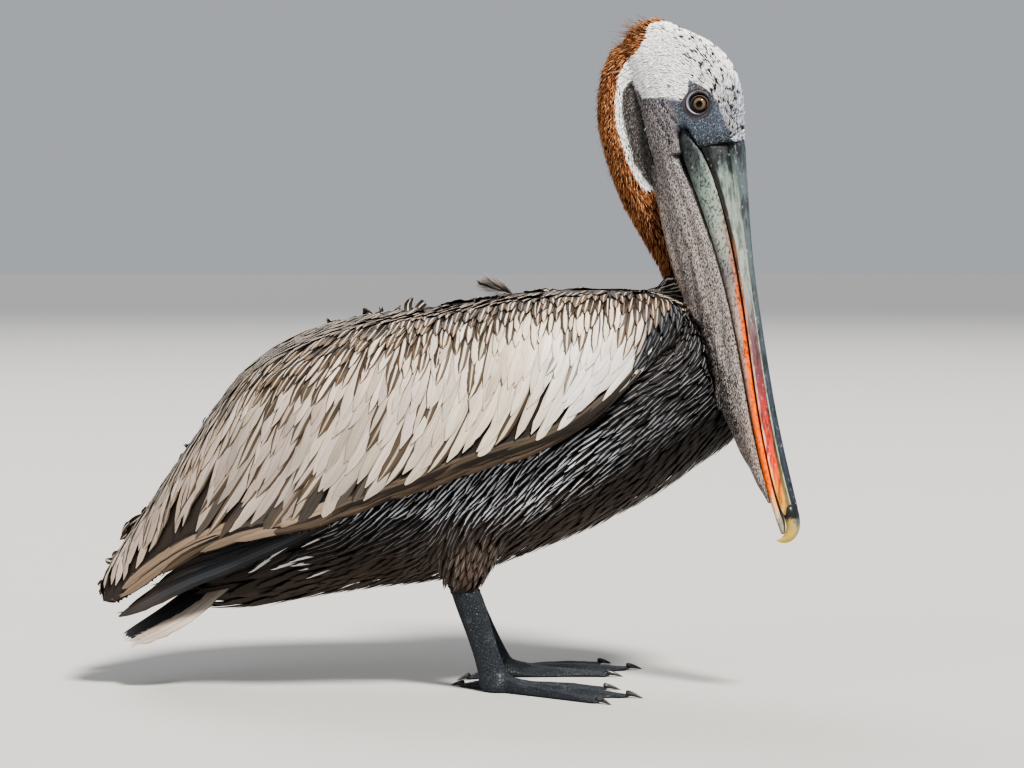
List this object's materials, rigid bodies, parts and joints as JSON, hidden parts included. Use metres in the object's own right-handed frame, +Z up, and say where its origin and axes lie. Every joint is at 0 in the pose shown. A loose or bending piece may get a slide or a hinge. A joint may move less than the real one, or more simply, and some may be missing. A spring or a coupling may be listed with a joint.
{
  "type": "brown pelican",
  "caption": "Brown pelican in breeding plumage standing at rest, wings folded, neck drawn up and bill hanging along the breast.",
  "frame": {"origin": "on the floor under the middle of the bird's bounding box", "axes": "+X forward, +Z up, +Y toward the bird's left side; the head is turned a little to its right"},
  "size_m": [0.5505, 0.2343, 0.5322],
  "materials": {
    "brown_plumage": "dark brown body feathers with fine silvery shaft streaks",
    "chestnut_plush": "short plush chestnut neck feathers",
    "white_plush": "short white head feathers with dark flecks",
    "silver_coverts": "pale silvery wing coverts with dark bases and worn tips",
    "slate_quills": "dark slate flight and tail feathers",
    "horn_grey": "grey-green and cream horn, satin",
    "horn_red": "horn passing from grey-cream to orange red, satin",
    "horn_yellow": "yellow horn, satin",
    "pouch_skin": "grey-brown mottled folded skin",
    "slate_skin": "slate scaled skin, satin",
    "eye_gloss": "wet brown eye",
    "claw_horn": "dark horn, satin"
  },
  "bodies": {
    "root": {"trunk": "brown_plumage", "neck": "chestnut_plush", "tail": "slate_quills", "head": "white_plush", "bill_upper": "horn_grey", "bill_lower": "horn_red", "bill_nail": "horn_yellow", "pouch": "pouch_skin", "eye_right": "eye_gloss", "wing_right": "silver_coverts", "primaries_right": "slate_quills", "thigh_right": "brown_plumage", "leg_right": "slate_skin", "foot_right": "slate_skin", "claw_right_1": "claw_horn", "claw_right_2": "claw_horn", "claw_right_3": "claw_horn", "claw_right_4": "claw_horn", "eye_left": "eye_gloss", "wing_left": "silver_coverts", "primaries_left": "slate_quills", "thigh_left": "brown_plumage", "leg_left": "slate_skin", "foot_left": "slate_skin", "claw_left_1": "claw_horn", "claw_left_2": "claw_horn", "claw_left_3": "claw_horn", "claw_left_4": "claw_horn"}
  },
  "joints": []
}
